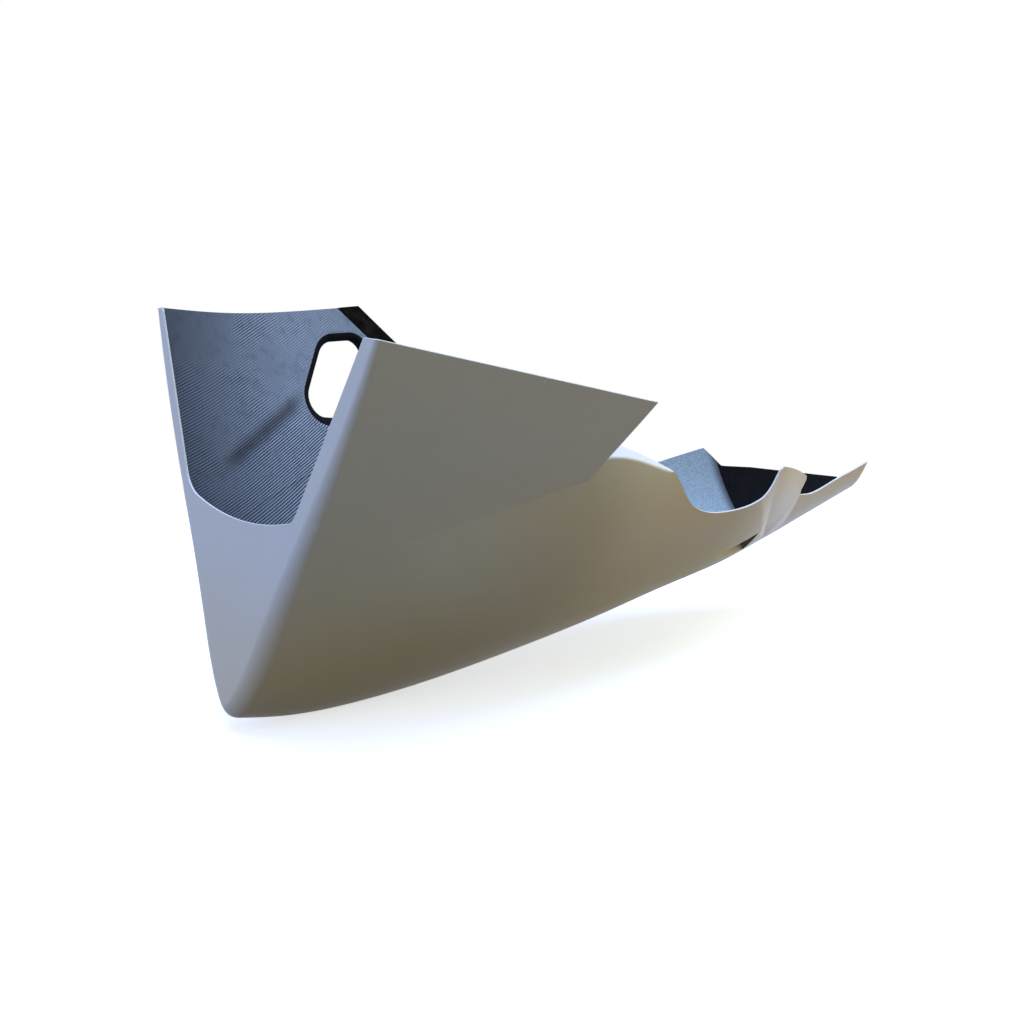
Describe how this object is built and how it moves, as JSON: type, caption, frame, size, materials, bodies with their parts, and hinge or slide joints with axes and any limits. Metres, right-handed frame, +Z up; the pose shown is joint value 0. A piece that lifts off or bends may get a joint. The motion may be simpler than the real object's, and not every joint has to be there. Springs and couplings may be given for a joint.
{
  "type": "lower fairing",
  "caption": "Belly pan of a racing motorbike: a moulded laminate shell with a raked nose, a rounded wheel cut-out, side wings and a vent in the right wing.",
  "frame": {"origin": "on the centre plane, between the two wings at the height where their upper edges meet the side fairings", "axes": "+X rearward along the bike, +Y to the bike's right, +Z up, as the pan hangs on the bike"},
  "size_m": [0.8535, 0.4364, 0.3673],
  "materials": {
    "gelcoat_laminate": "satin light grey gelcoat outside, bare woven cloth with glossy resin inside"
  },
  "bodies": {
    "root": {"lower_fairing": "gelcoat_laminate"}
  },
  "joints": []
}
